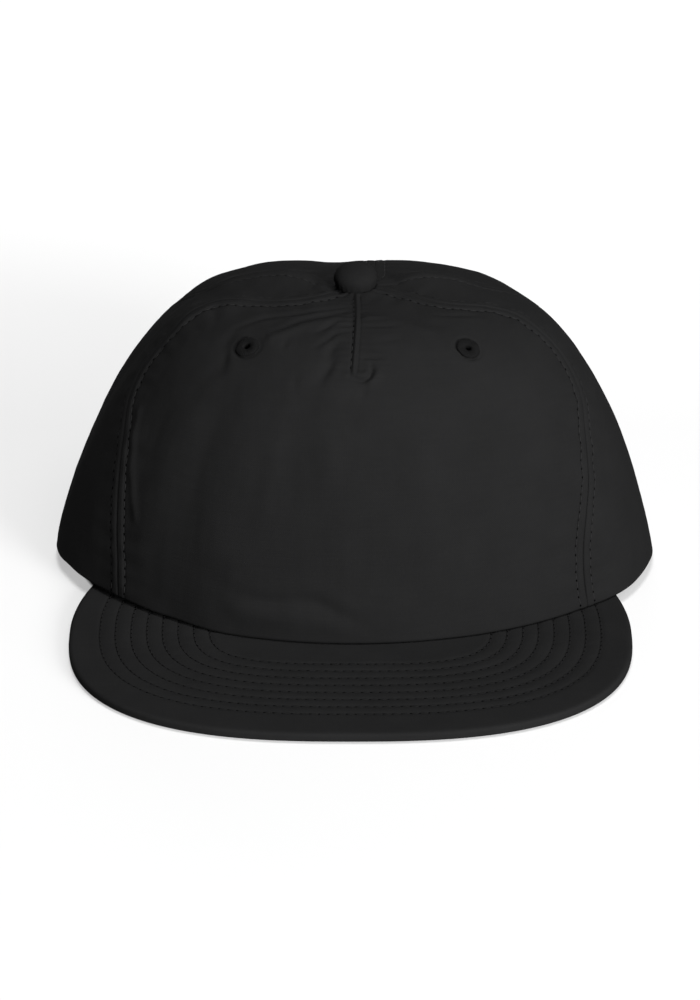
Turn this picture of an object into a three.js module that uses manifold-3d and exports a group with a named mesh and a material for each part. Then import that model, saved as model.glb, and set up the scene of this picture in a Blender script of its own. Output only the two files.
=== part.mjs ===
// A surf cap: a soft crown of five cloth panels over a flat stitched peak, lying on its hem.
// Millimetres, +Z up, the peak towards -Y. Left and right are as seen from the front.
// An azimuth is the angle round the crown in degrees: 0 at the front, 90 at the right side,
// 180 at the back. A rise is the way up the crown's wall: 0 at the hem, 1 at the top.
import * as THREE from 'three';
import { mergeVertices } from 'three/addons/utils/BufferGeometryUtils.js';
import Module from 'manifold-3d';

const wasm = await Module();
wasm.setup();
const { degToRad, smoothstep, lerp } = THREE.MathUtils;

// Clearances and cloth
const GAP = 0.3;
const CLOTH = 1.4;
const SAME_POINT = 1e-4;

// The crown's axis lies behind the middle of the whole cap
const CROWN_Y = 23.5;

// Sections of the crown at even rises, hem first: how far the section lies behind the axis, its
// half width, its depth to the front and the back, and its height at the front, sides and back
const SECTIONS = [
  { behind: 0.0, half: 105.5, front: 77.5, back: 97.0, zFront: 0.0, zSide: 0.0, zBack: 0.0 },
  { behind: 0.0, half: 101.0, front: 73.0, back: 96.0, zFront: 24.5, zSide: 21.0, zBack: 22.0 },
  { behind: 0.0, half: 95.0, front: 68.5, back: 93.0, zFront: 47.0, zSide: 41.0, zBack: 42.5 },
  { behind: 0.0, half: 87.0, front: 62.5, back: 87.0, zFront: 66.5, zSide: 58.5, zBack: 60.0 },
  { behind: 0.0, half: 77.0, front: 54.0, back: 77.0, zFront: 82.5, zSide: 75.0, zBack: 75.0 },
  { behind: 0.5, half: 64.0, front: 43.0, back: 62.0, zFront: 93.0, zSide: 89.5, zBack: 85.5 },
  { behind: 1.5, half: 47.0, front: 31.0, back: 42.0, zFront: 98.5, zSide: 96.5, zBack: 93.5 },
  { behind: 2.5, half: 24.5, front: 17.5, back: 20.0, zFront: 100.2, zSide: 99.6, zBack: 98.8 },
  { behind: 2.9, half: 0.0, front: 0.0, back: 0.0, zFront: 101.3, zSide: 101.3, zBack: 101.3 },
];

// Azimuths of the seams at even rises, hem first. The soft cloth lies a little differently on
// the two sides of the button, so each front seam has its own
const FRONT_SEAM_LEFT = [
  -50.5, -51.8, -53.8, -55.8, -58.2, -61.3, -65.2, -71, -74.8,
  -76.8, -78.2, -80.2, -79, -66.2, -48, -35, -29,
];
const FRONT_SEAM_RIGHT = [
  49.2, 49.4, 51, 54.2, 58.2, 61.8, 66, 72, 76,
  78, 79, 80.4, 76.2, 65, 61.5, 66, 70,
];
const BACK_SEAM = [
  122, 122.3, 122.6, 122.6, 122.2, 121.5, 120.5, 119, 117,
  114.6, 111.5, 109, 110, 113.5, 117.5, 120, 119,
];

// The hem's height off the ground, where its front lies on the peak and its sides slope down to
// the ground, and how far it is pushed back
const HEM = [
  { azimuth: -180, lift: 0.0, back: 0.0 },
  { azimuth: -97, lift: 0.0, back: 0.0 },
  { azimuth: -84, lift: 3.6, back: 1.0 },
  { azimuth: -70, lift: 4.8, back: 3.4 },
  { azimuth: -52, lift: 4.7, back: 3.8 },
  { azimuth: -38, lift: 4.0, back: 2.2 },
  { azimuth: -24, lift: 3.3, back: 0.0 },
  { azimuth: 45, lift: 3.3, back: 0.0 },
  { azimuth: 64, lift: 3.3, back: -2.2 },
  { azimuth: 76, lift: 3.2, back: -1.2 },
  { azimuth: 97, lift: 0.0, back: 0.0 },
  { azimuth: 180, lift: 0.0, back: 0.0 },
];
const HEM_FADES_AT = 0.35;
const LEVEL_UP_TO = 0.06;

// The dart's tuck and the main folds: from and to are an azimuth and a rise, bow bends the fold
// upwards at its middle, width is the half width and height stands out of the cloth
const FOLDS = [
  { name: 'dart', from: [2.0, 0.93], to: [-0.8, 0.59], bow: 0, width: 1.6, height: 0.9 },
  { name: 'dart_pucker', from: [-2.5, 0.568], to: [4.0, 0.572], bow: 0, width: 2.6, height: -1.2 },
  { name: 'pucker_lip', from: [2.5, 0.55], to: [8.0, 0.6], bow: -0.01, width: 1.8, height: 0.8 },
  { name: 'middle_ridge', from: [-0.2, 0.54], to: [-2.0, 0.3], bow: 0, width: 7.0, height: 1.1 },
  { name: 'left_fan', from: [-5.0, 0.79], to: [-31.0, 0.69], bow: 0.02, width: 2.4, height: 0.7 },
  { name: 'left_crease', from: [-6.3, 0.67], to: [-9.5, 0.55], bow: 0, width: 2.2, height: -0.6 },
  { name: 'eyelet_crease', from: [-46.0, 0.66], to: [-41.5, 0.56], bow: 0, width: 2.2, height: -0.7 },
  { name: 'right_fan', from: [7.0, 0.81], to: [29.0, 0.72], bow: 0.02, width: 2.4, height: 0.5 },
  { name: 'left_sag', from: [-24.0, 0.5], to: [-28.0, 0.16], bow: 0, width: 9.0, height: 1.0 },
  { name: 'hem_fold', from: [-30.0, 0.075], to: [-1.0, 0.066], bow: 0.012, width: 5.0, height: 1.2 },
  { name: 'seam_sag', from: [-44.0, 0.42], to: [-46.0, 0.12], bow: 0, width: 7.0, height: 0.8 },
  { name: 'top_ridge_left', from: [-111, 0.78], to: [-119, 0.91], bow: 0, width: 9.0, height: 4.0 },
  { name: 'top_ridge_right', from: [113, 0.8], to: [119, 0.91], bow: 0, width: 8.0, height: 2.8 },
];
const FOLDS_FADE = { from: 0.89, to: 0.93 };
const FOLD_STEPS = 8;

// The open ring at the top, under the button
const TOP_RISE = 0.975;
const BUTTON = { radius: 7.2, height: 6.8, rim: 1.4, rounding: 0.4, lift: 0.35 };
const SHANK = { radius: 1.6, length: 3.2 };
const BUTTON_SIDES = 20;
const DOME_STEPS = 6;

// Stitched eyelets in the front panel
const EYELET = { azimuth: 37, rise: 0.63, outer: 3.7, hole: 1.25, barrel: 2.2, flange: 0.6 };
const EYELET_ROUNDING = 0.35;
const EYELET_CLEAR = 0.4;
const EYELET_SIDES = 16;
const EYELET_CALM = { from: 4.5, to: 9 };

// The peak: a superellipse in front of its widest line, flanks that run back under the hem, and
// an inner edge that follows the hem inside the front panel
const PEAK = { halfWidth: 96, reach: 76.5, power: 2.7, flank: 98, thickness: 3, bevel: 0.5 };
const PEAK_FRONT_Y = -119.7;
const PEAK_X = -1.5;
const PEAK_INSET = 7;
const PEAK_TIP_AZIMUTH = 67;
const PEAK_STEPS = { front: 20, flank: 5, inner: 12 };

// The sweatband inside the hem, and the strap that closes the arch at the back
const SWEATBAND = { from: -155.5, to: 155.5, bottom: 0.02, top: 0.185, thickness: 1, gap: 0.4 };
const ARCH = { half: 33, height: 37, straight: 12, depth: 50, sides: 14 };
const STRAP = { from: 157, to: 203, bottom: 0.015, top: 0.122, thickness: 1.6, gap: 0.35 };
const SLIDER = { azimuth: 169, length: 9, wall: 1.1, clear: 0.5 };

// Cells of the grids that the cloth pieces are made of
const ROWS = 24;
const FRONT_COLUMNS = 44;
const SIDE_COLUMNS = 10;
const BAND_COLUMNS = 56;
const BAND_ROWS = 2;
const STRAP_COLUMNS = 12;
const MIDDLE_CROWDING = 0.45;

// Reads evenly spaced values as one smooth curve
function spline(values, t) {
  const last = values.length - 1;
  const x = THREE.MathUtils.clamp(t, 0, 1) * last;
  const i = Math.min(Math.floor(x), last - 1);
  const f = x - i;
  const b = values[i];
  const c = values[i + 1];
  const a = i > 0 ? values[i - 1] : 2 * b - c;
  const d = i + 2 <= last ? values[i + 2] : 2 * c - b;
  const cubic = (3 * b - a - 3 * c + d) * f ** 3 + (2 * a - 5 * b + 4 * c - d) * f ** 2;
  return 0.5 * (cubic + (c - a) * f + 2 * b);
}

function section(rise) {
  const size = {};
  for (const key of Object.keys(SECTIONS[0])) {
    size[key] = spline(SECTIONS.map((row) => row[key]), rise);
  }
  return size;
}

function hem(azimuth) {
  const turned = THREE.MathUtils.euclideanModulo(azimuth + 180, 360) - 180;
  const next = HEM.findIndex((row) => row.azimuth > turned);
  if (next < 1) return { lift: 0, back: 0 };
  const [a, b] = [HEM[next - 1], HEM[next]];
  const share = smoothstep(turned, a.azimuth, b.azimuth);
  return { lift: lerp(a.lift, b.lift, share), back: lerp(a.back, b.back, share) };
}

// A point of the plain crown, without its folds
function plainPoint(azimuth, rise) {
  const size = section(rise);
  const sin = Math.sin(degToRad(azimuth));
  const cos = Math.cos(degToRad(azimuth));
  const depth = cos > 0 ? size.front : size.back;
  const zEnd = cos > 0 ? size.zFront : size.zBack;
  const { lift, back } = hem(azimuth);
  const settle = 1 - smoothstep(rise, 0, HEM_FADES_AT);
  const y = CROWN_Y + size.behind - depth * cos + back * settle;
  const z = zEnd * cos ** 2 + size.zSide * sin ** 2 + lift * settle;
  return new THREE.Vector3(size.half * sin, y, z);
}

function plainNormal(azimuth, rise) {
  const turn = 0.5;
  const step = 0.004;
  const low = Math.max(rise - step, 0);
  const across = plainPoint(azimuth + turn, rise).sub(plainPoint(azimuth - turn, rise));
  const up = plainPoint(azimuth, rise + step).sub(plainPoint(azimuth, low));
  return across.cross(up).normalize();
}

// Each fold as a run of points on the plain crown
function foldLine(fold) {
  const line = [];
  for (let i = 0; i <= FOLD_STEPS; i += 1) {
    const s = i / FOLD_STEPS;
    const azimuth = lerp(fold.from[0], fold.to[0], s);
    const rise = lerp(fold.from[1], fold.to[1], s) + 4 * fold.bow * s * (1 - s);
    line.push(plainPoint(azimuth, rise));
  }
  return line;
}
const foldLines = FOLDS.map(foldLine);
const eyeletSpots = [-1, 1].map((side) => plainPoint(side * EYELET.azimuth, EYELET.rise));

function distanceToLine(point, line) {
  let nearest = Infinity;
  const foot = new THREE.Vector3();
  for (let i = 1; i < line.length; i += 1) {
    new THREE.Line3(line[i - 1], line[i]).closestPointToPoint(point, true, foot);
    nearest = Math.min(nearest, foot.distanceTo(point));
  }
  return nearest;
}

// How far the folds push the cloth out at a point of the plain crown
function foldHeight(point, rise) {
  let height = 0;
  FOLDS.forEach((fold, i) => {
    const away = distanceToLine(point, foldLines[i]) / fold.width;
    height += fold.height * Math.exp(-(away ** 2));
  });
  for (const spot of eyeletSpots) {
    height *= smoothstep(spot.distanceTo(point), EYELET_CALM.from, EYELET_CALM.to);
  }
  return height * (1 - smoothstep(rise, FOLDS_FADE.from, FOLDS_FADE.to));
}

// A point at a depth under the crown's outer face; at the hem the depth is measured level
function crownPoint(azimuth, rise, depth, folded) {
  const point = plainPoint(azimuth, rise);
  const outward = plainNormal(azimuth, rise);
  outward.z *= smoothstep(rise, 0, LEVEL_UP_TO);
  const out = folded ? foldHeight(point, rise) : 0;
  return point.addScaledVector(outward.normalize(), out - depth);
}

// Bends a box of grid cells into a closed sheet on the crown. place(u, v, w) takes the share of
// the way across, up and out of the box, each 0 to 1, and gives the point
function sheet(columns, rows, place) {
  const geometry = new THREE.BoxGeometry(1, 1, 1, columns, rows, 1);
  const position = geometry.attributes.position;
  for (let i = 0; i < position.count; i += 1) {
    const [u, v, w] = [position.getX(i), position.getY(i), position.getZ(i)].map((x) => x + 0.5);
    const point = place(u, v, w);
    position.setXYZ(i, point.x, point.y, point.z);
  }
  return geometry;
}

function toManifold(geometry) {
  const bare = geometry.clone();
  bare.deleteAttribute('normal');
  bare.deleteAttribute('uv');
  const merged = mergeVertices(bare, SAME_POINT);
  const vertProperties = new Float32Array(merged.attributes.position.array);
  const triVerts = new Uint32Array(merged.index.array);
  return new wasm.Manifold(new wasm.Mesh({ numProp: 3, vertProperties, triVerts }));
}

function toGeometry(solid) {
  const mesh = solid.getMesh();
  const geometry = new THREE.BufferGeometry();
  geometry.setAttribute('position', new THREE.BufferAttribute(mesh.vertProperties, 3));
  geometry.setIndex(new THREE.BufferAttribute(mesh.triVerts, 1));
  geometry.computeVertexNormals();
  return geometry;
}

function cut(geometry, tools) {
  let solid = toManifold(geometry);
  for (const tool of tools) solid = solid.subtract(toManifold(tool));
  return toGeometry(solid);
}

// The azimuth of a seam's edge: half a gap, measured square to the seam, to one side of its line
function seamEdge(seam, rise, side) {
  const step = 0.01;
  const low = Math.max(rise - step, 0);
  const azimuth = spline(seam, rise);
  const level = plainPoint(azimuth + 1, rise).sub(plainPoint(azimuth, rise));
  const along = plainPoint(spline(seam, rise + step), rise + step)
    .sub(plainPoint(spline(seam, low), low));
  return azimuth + side * GAP / 2 / (level.length() * Math.sin(level.angleTo(along)));
}

function panel(seams, columns, crowding) {
  const [from, to] = seams;
  return sheet(columns, ROWS, (u, v, w) => {
    const rise = v * TOP_RISE;
    const a = seamEdge(from, rise, 1);
    const b = seamEdge(to, rise, -1);
    const k = 2 * u - 1;
    const share = 0.5 + 0.5 * k * (1 - crowding + crowding * k * k);
    return crownPoint(lerp(a, b, share), rise, (1 - w) * CLOTH, true);
  });
}

const mirrored = (seam) => seam.map((azimuth) => -azimuth);
const backMiddle = (side) => BACK_SEAM.map(() => side * 180);

// Turns a piece so that its +Z points along the crown's outward normal
function setOnCrown(mesh, azimuth, rise) {
  mesh.position.copy(plainPoint(azimuth, rise));
  const up = new THREE.Vector3(0, 0, 1);
  mesh.quaternion.setFromUnitVectors(up, plainNormal(azimuth, rise));
  mesh.updateMatrix();
  return mesh;
}

function frontPanel() {
  const cloth = panel([FRONT_SEAM_LEFT, FRONT_SEAM_RIGHT], FRONT_COLUMNS, MIDDLE_CROWDING);
  const radius = EYELET.barrel + GAP;
  const holes = [-1, 1].map((side) => {
    const drill = new THREE.CylinderGeometry(radius, radius, 6 * CLOTH, EYELET_SIDES);
    drill.rotateX(Math.PI / 2);
    const placed = setOnCrown(new THREE.Object3D(), side * EYELET.azimuth, EYELET.rise);
    return drill.applyMatrix4(placed.matrix);
  });
  return cut(cloth, holes);
}

function sidePanel(side) {
  const left = [mirrored(BACK_SEAM), FRONT_SEAM_LEFT];
  const right = [FRONT_SEAM_RIGHT, BACK_SEAM];
  return panel(side > 0 ? right : left, SIDE_COLUMNS, 0);
}

// The block that cuts the arch through the back of the crown
function archBlock() {
  const arch = new THREE.Shape();
  arch.moveTo(-ARCH.half, -GAP);
  arch.lineTo(ARCH.half, -GAP);
  arch.lineTo(ARCH.half, ARCH.straight);
  arch.absellipse(0, ARCH.straight, ARCH.half, ARCH.height - ARCH.straight, 0, Math.PI, false, 0);
  const through = { depth: ARCH.depth, bevelEnabled: false, curveSegments: ARCH.sides };
  return new THREE.ExtrudeGeometry(arch, through)
    .rotateX(Math.PI / 2)
    .translate(0, CROWN_Y + SECTIONS[0].back + ARCH.depth / 2, 0);
}

function backPanel(side) {
  const middle = backMiddle(side);
  const seams = side > 0 ? [BACK_SEAM, middle] : [middle, mirrored(BACK_SEAM)];
  return cut(panel(seams, SIDE_COLUMNS, 0), [archBlock()]);
}

// The right half of the peak's outer edge, from its front to the tip under the hem, and of its
// inner edge, from the tip back to the middle
function peakHalf() {
  const widestY = PEAK_FRONT_Y + PEAK.reach;
  const outer = [];
  for (let i = 0; i <= PEAK_STEPS.front; i += 1) {
    const angle = (i / PEAK_STEPS.front) * Math.PI / 2;
    const x = PEAK.halfWidth * Math.sin(angle) ** (2 / PEAK.power);
    const y = widestY - PEAK.reach * Math.cos(angle) ** (2 / PEAK.power);
    outer.push(new THREE.Vector2(x, y));
  }
  const inner = [];
  const half = SECTIONS[0].half - PEAK_INSET;
  const front = SECTIONS[0].front - PEAK_INSET;
  for (let i = 1; i <= PEAK_STEPS.inner; i += 1) {
    const angle = degToRad(lerp(PEAK_TIP_AZIMUTH, 0, i / PEAK_STEPS.inner));
    inner.push(new THREE.Vector2(half * Math.sin(angle), CROWN_Y - front * Math.cos(angle)));
  }
  const tipY = CROWN_Y - front * Math.cos(degToRad(PEAK_TIP_AZIMUTH));
  for (let i = 1; i <= PEAK_STEPS.flank; i += 1) {
    const y = lerp(widestY, tipY, i / PEAK_STEPS.flank);
    const x = PEAK.halfWidth * Math.sqrt(1 - ((y - widestY) / PEAK.flank) ** 2);
    outer.push(new THREE.Vector2(x, y));
  }
  return { outer, inner };
}

function peak() {
  const { outer, inner } = peakHalf();
  const flip = (points) => points.map((point) => new THREE.Vector2(-point.x, point.y)).reverse();
  const aside = (points) => points.map((point) => new THREE.Vector2(point.x + PEAK_X, point.y));
  const middle = inner[inner.length - 1];
  const outline = [
    ...aside(outer),
    ...inner.slice(0, -1),
    middle,
    ...flip(inner.slice(0, -1)),
    ...aside(flip(outer.slice(1))),
  ];
  return new THREE.ExtrudeGeometry(new THREE.Shape(outline), {
    depth: PEAK.thickness - 2 * PEAK.bevel,
    bevelThickness: PEAK.bevel,
    bevelSize: PEAK.bevel,
    bevelOffset: -PEAK.bevel,
    bevelSegments: 1,
  }).translate(0, 0, PEAK.bevel);
}

// Spins a profile of radii and heights round +Z
function spun(profile, sides) {
  const points = profile.map(([radius, z]) => new THREE.Vector2(radius, z));
  return new THREE.LatheGeometry(points, sides).rotateX(Math.PI / 2);
}

// The covered button: a low dome on a shank that stands in the crown's open ring
function button() {
  const profile = [
    [0, -SHANK.length],
    [SHANK.radius, -SHANK.length],
    [SHANK.radius, 0],
    [BUTTON.radius - BUTTON.rounding, 0],
    [BUTTON.radius, BUTTON.rounding],
  ];
  for (let i = 0; i < DOME_STEPS; i += 1) {
    const angle = (i / DOME_STEPS) * Math.PI / 2;
    const z = BUTTON.rim + (BUTTON.height - BUTTON.rim) * Math.sin(angle);
    profile.push([BUTTON.radius * Math.cos(angle), z]);
  }
  profile.push([0, BUTTON.height]);
  return spun(profile, BUTTON_SIDES);
}

// A ring that lines its hole and folds over the cloth on both faces
function eyelet() {
  const under = -CLOTH - EYELET_CLEAR;
  const profile = [
    [EYELET.hole, under - EYELET.flange],
    [EYELET.outer - EYELET_ROUNDING, under - EYELET.flange],
    [EYELET.outer, under],
    [EYELET.barrel, under],
    [EYELET.barrel, EYELET_CLEAR],
    [EYELET.outer, EYELET_CLEAR],
    [EYELET.outer - EYELET_ROUNDING, EYELET_CLEAR + EYELET.flange],
    [EYELET.hole + EYELET_ROUNDING, EYELET_CLEAR + EYELET.flange],
    [EYELET.hole, EYELET_CLEAR],
    [EYELET.hole, under - EYELET.flange],
  ];
  return spun(profile, EYELET_SIDES);
}

// A band that runs along the inside of the crown's wall
function innerBand(spec, columns) {
  return sheet(columns, BAND_ROWS, (u, v, w) => {
    const depth = CLOTH + spec.gap + (1 - w) * spec.thickness;
    return crownPoint(lerp(spec.from, spec.to, u), lerp(spec.bottom, spec.top, v), depth, false);
  });
}

// A plain frame round the strap
function slider() {
  const low = plainPoint(SLIDER.azimuth, STRAP.bottom);
  const high = plainPoint(SLIDER.azimuth, STRAP.top);
  const inside = [STRAP.thickness, low.distanceTo(high)].map((size) => size / 2 + SLIDER.clear);
  const rectangle = ([x, y]) => [[-x, -y], [x, -y], [x, y], [-x, y]]
    .map(([a, b]) => new THREE.Vector2(a, b));
  const frame = new THREE.Shape(rectangle(inside.map((size) => size + SLIDER.wall)));
  frame.holes.push(new THREE.Path(rectangle(inside)));
  return new THREE.ExtrudeGeometry(frame, { depth: SLIDER.length, bevelEnabled: false })
    .translate(0, 0, -SLIDER.length / 2);
}

const nylon = { color: 0x1b1b1d, roughness: 0.62, metalness: 0 };
const materials = {
  crown_cloth: new THREE.MeshStandardMaterial({ name: 'crown_cloth', ...nylon }),
  peak_cloth: new THREE.MeshStandardMaterial({ name: 'peak_cloth', ...nylon, roughness: 0.66 }),
  thread: new THREE.MeshStandardMaterial({ name: 'thread', color: 0x151516, roughness: 0.5 }),
  band_cloth: new THREE.MeshStandardMaterial({ name: 'band_cloth', color: 0x161617, roughness: 0.85 }),
  webbing: new THREE.MeshStandardMaterial({ name: 'webbing', color: 0x141415, roughness: 0.7 }),
  plastic: new THREE.MeshStandardMaterial({ name: 'plastic', color: 0x121213, roughness: 0.4 }),
};

const cap = new THREE.Group();

function add(name, geometry, material) {
  const mesh = new THREE.Mesh(geometry, materials[material]);
  mesh.name = name;
  cap.add(mesh);
  return mesh;
}

add('front_panel', frontPanel(), 'crown_cloth');
for (const [word, side] of [['left', -1], ['right', 1]]) {
  add(`side_panel_${word}`, sidePanel(side), 'crown_cloth');
  add(`back_panel_${word}`, backPanel(side), 'crown_cloth');
  setOnCrown(add(`eyelet_${word}`, eyelet(), 'thread'), side * EYELET.azimuth, EYELET.rise);
}
add('peak', peak(), 'peak_cloth');

const covered = add('button', button(), 'crown_cloth');
covered.position.copy(plainPoint(0, 1)).add(new THREE.Vector3(0, 0, BUTTON.lift));

add('sweatband', innerBand(SWEATBAND, BAND_COLUMNS), 'band_cloth');
add('strap', innerBand(STRAP, STRAP_COLUMNS), 'webbing');

// The slider stands across the strap, its window along the strap's run
const clasp = add('strap_slider', slider(), 'plastic');
const strapMiddle = (STRAP.bottom + STRAP.top) / 2;
const outward = plainNormal(SLIDER.azimuth, strapMiddle);
const along = new THREE.Vector3(0, 0, 1).cross(outward).normalize();
const basis = new THREE.Matrix4().makeBasis(outward, along.clone().cross(outward), along);
clasp.quaternion.setFromRotationMatrix(basis);
clasp.position.copy(plainPoint(SLIDER.azimuth, strapMiddle))
  .addScaledVector(outward, -(CLOTH + STRAP.gap + STRAP.thickness / 2));

export default cap;
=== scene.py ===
"""A black surf cap: soft nylon crown with topstitched seams, flat stitched peak, covered button.

Lengths are worked out in millimetres on the crown's own surface and written to the meshes in
metres. An azimuth is the angle round the crown in degrees, 0 at the front and 90 at the right;
a rise is the way up its wall, 0 at the hem and 1 at the top.
"""

import math

import bmesh
import bpy
import numpy as np
from mathutils import Matrix, Vector, noise


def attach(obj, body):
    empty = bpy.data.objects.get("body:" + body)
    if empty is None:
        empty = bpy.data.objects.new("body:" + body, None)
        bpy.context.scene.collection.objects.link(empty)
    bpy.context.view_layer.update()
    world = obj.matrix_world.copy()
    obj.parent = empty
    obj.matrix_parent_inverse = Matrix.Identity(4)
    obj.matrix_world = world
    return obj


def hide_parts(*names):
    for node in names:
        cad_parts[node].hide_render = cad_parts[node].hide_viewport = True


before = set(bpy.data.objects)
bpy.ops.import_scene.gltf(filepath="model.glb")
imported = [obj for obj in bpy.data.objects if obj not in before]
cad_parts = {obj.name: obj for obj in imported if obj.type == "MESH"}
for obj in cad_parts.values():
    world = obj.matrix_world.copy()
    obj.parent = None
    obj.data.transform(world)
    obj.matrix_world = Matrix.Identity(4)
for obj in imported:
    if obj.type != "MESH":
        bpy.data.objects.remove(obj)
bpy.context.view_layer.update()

MM = 0.001

# The crown's form, as the frame was cut
CROWN_Y = 23.5
SECTION_KEYS = ("behind", "half", "front", "back", "z_front", "z_side", "z_back")
SECTIONS = np.array([
    (0.0, 105.5, 77.5, 97.0, 0.0, 0.0, 0.0),
    (0.0, 101.0, 73.0, 96.0, 24.5, 21.0, 22.0),
    (0.0, 95.0, 68.5, 93.0, 47.0, 41.0, 42.5),
    (0.0, 87.0, 62.5, 87.0, 66.5, 58.5, 60.0),
    (0.0, 77.0, 54.0, 77.0, 82.5, 75.0, 75.0),
    (0.5, 64.0, 43.0, 62.0, 93.0, 89.5, 85.5),
    (1.5, 47.0, 31.0, 42.0, 98.5, 96.5, 93.5),
    (2.5, 24.5, 17.5, 20.0, 100.2, 99.6, 98.8),
    (2.9, 0.0, 0.0, 0.0, 101.3, 101.3, 101.3),
])

# A section's sizes are a mean over this much rise up and down
SECTION_MEAN_OVER = 0.055

# Azimuths of the seams at even rises; the middle one bends to its right over the soft top
FRONT_LEFT = (-50.5, -51.8, -53.8, -55.8, -58.2, -61.3, -65.2, -71, -74.8,
              -76.8, -78.2, -80.2, -79, -66.2, -48, -35, -29)
FRONT_RIGHT = (49.2, 49.4, 51, 54.2, 58.2, 61.8, 66, 72, 76,
               78, 79, 80.4, 76.2, 65, 61.5, 66, 70)
BACK_RIGHT = (122, 122.3, 122.6, 122.6, 122.2, 121.5, 120.5, 119, 117,
              114.6, 111.5, 109, 110, 113.5, 117.5, 120, 119)
BACK_LEFT = tuple(-azimuth for azimuth in BACK_RIGHT)
MIDDLE = (180, 180, 180, 180, 179.8, 179.4, 178.7, 177.8, 176.9,
          175.7, 174.4, 172.8, 170.9, 168.2, 162.7, 151, 142)
HEM = np.array([
    (-180, 0.0, 0.0), (-97, 0.0, 0.0), (-84, 3.6, 1.0), (-70, 4.8, 3.4), (-52, 4.7, 3.8),
    (-38, 4.0, 2.2), (-24, 3.3, 0.0), (45, 3.3, 0.0), (64, 3.3, -2.2), (76, 3.2, -1.2),
    (97, 0.0, 0.0), (180, 0.0, 0.0),
])
HEM_FADES_AT = 0.35
LEVEL_UP_TO = 0.06
TOP_RISE = 0.975
CLOTH = 1.4

# The arch: its half width, its height, and the lengths of its straight foot and of its curve
ARCH = {"half": 33.0, "height": 37.0, "straight": 12.0, "curve": 43.0}
EYELET_SPOTS = {"left": (-36.5, 0.643), "right": (38.0, 0.635)}
# The hole's radius in the cloth, and the radius that the cloth is drawn in at
EYELET_HOLE = 2.3
EYELET_SEAT = 4.6

# The peak's outline: a power curve across the front and an arc along each flank
PEAK = {"half": 96.0, "reach": 77.5, "flank": 98.0, "front_y": -120.7, "x": -1.5}
PEAK_TOP = 3.0
PEAK_TIP_AZIMUTH = 67.0
PEAK_INSET = 7.0
PEAK_FRONT_SHARE = 0.84
PEAK_DEEPEST = 72.0
# Its rows of topstitching: the powers of their curves at even depths, how far behind the edge
# they run in front, as a share of their depth and in mm, and how much further back they widen
STITCH_ROWS = 8
FIRST_ROW, ROW_STEP = 10.4, 5.34
ROW_POWERS = (2.6, 2.83, 2.94, 3.2, 3.55)
ROW_POWERS_TO = 55
ROWS_BEHIND = (0.9625, 4.46)
ROWS_WIDEST = 3.7

# Topstitching: how far from a seam and from the arch's edge, and its stitches' pitch and length
TOPSTITCH = 3.17
ARCH_TOPSTITCH = 3.9
STITCH_PITCH = 3.0
STITCH_LENGTH = 2.4
# Half a thread's width, half a needle hole's, and half the height of the near-black disc that
# fills the hole as painted shade
THREAD = 0.23
NEEDLE = 0.42
NEEDLE_SHADE_FILL = 0.1
# Blender's mesh operators read all of their bmesh, so stitches are made this many at a time
STITCHES_AT_ONCE = 20


def floats(*values):
    return np.broadcast_arrays(*(np.asarray(value, float) for value in values))


def smooth(x, low, high):
    """0 below low, 1 above high, and an even turn between them."""
    t = np.clip((np.asarray(x, float) - low) / (high - low), 0, 1)
    return t * t * (3 - 2 * t)


def bell(x, width):
    return np.exp(-(np.asarray(x, float) / width) ** 2)


def spline(values, t):
    """Reads evenly spaced values as one smooth curve, t from 0 to 1."""
    values = np.asarray(values, float)
    last = len(values) - 1
    x = np.clip(np.asarray(t, float), 0, 1) * last
    i = np.minimum(x.astype(int), last - 1)
    f = x - i
    b, c = values[i], values[i + 1]
    a = np.where(i > 0, values[np.maximum(i - 1, 0)], 2 * b - c)
    d = np.where(i + 2 <= last, values[np.minimum(i + 2, last)], 2 * c - b)
    cubic = (3 * b - a - 3 * c + d) * f ** 3 + (2 * a - 5 * b + 4 * c - d) * f ** 2
    return 0.5 * (cubic + (c - a) * f + 2 * b)


def hem(azimuth):
    """The hem's lift off the ground and its push to the back."""
    turned = (np.asarray(azimuth, float) + 180) % 360 - 180
    i = np.clip(np.searchsorted(HEM[:, 0], turned, side="right") - 1, 0, len(HEM) - 2)
    share = smooth(turned, HEM[i, 0], HEM[i + 1, 0])
    return [HEM[i, k] + (HEM[i + 1, k] - HEM[i, k]) * share for k in (1, 2)]


def section(rise):
    """The crown's section, each size a mean over a short run so that no curve turns suddenly."""
    reach = SECTION_MEAN_OVER * smooth(np.minimum(rise, 1 - rise), 0, 0.1)
    near_by = [rise + share * reach for share in (-1, -0.5, 0, 0.5, 1)]
    return {
        key: np.mean([spline(SECTIONS[:, k], level) for level in near_by], axis=0)
        for k, key in enumerate(SECTION_KEYS)
    }


def crown(azimuth, rise):
    """Points of the plain crown, one row of x, y, z for each azimuth and rise."""
    azimuth, rise = floats(azimuth, rise)
    size = section(rise)
    sin, cos = np.sin(np.radians(azimuth)), np.cos(np.radians(azimuth))
    depth = np.where(cos > 0, size["front"], size["back"])
    z_end = np.where(cos > 0, size["z_front"], size["z_back"])
    lift, back = hem(azimuth)
    settle = 1 - smooth(rise, 0, HEM_FADES_AT)
    return np.stack([
        size["half"] * sin,
        CROWN_Y + size["behind"] - depth * cos + back * settle,
        z_end * cos ** 2 + size["z_side"] * sin ** 2 + lift * settle,
    ], -1)


def slopes(azimuth, rise):
    """How the crown's point moves for a degree round it, and for a whole rise up it."""
    low, high = np.maximum(rise - 0.004, 0), np.minimum(rise + 0.004, 1)
    across = crown(azimuth + 0.5, rise) - crown(azimuth - 0.5, rise)
    up = (crown(azimuth, high) - crown(azimuth, low)) / (high - low)[..., None]
    return across, up


def unit(vectors):
    return vectors / np.maximum(np.linalg.norm(vectors, axis=-1, keepdims=True), 1e-12)


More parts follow.
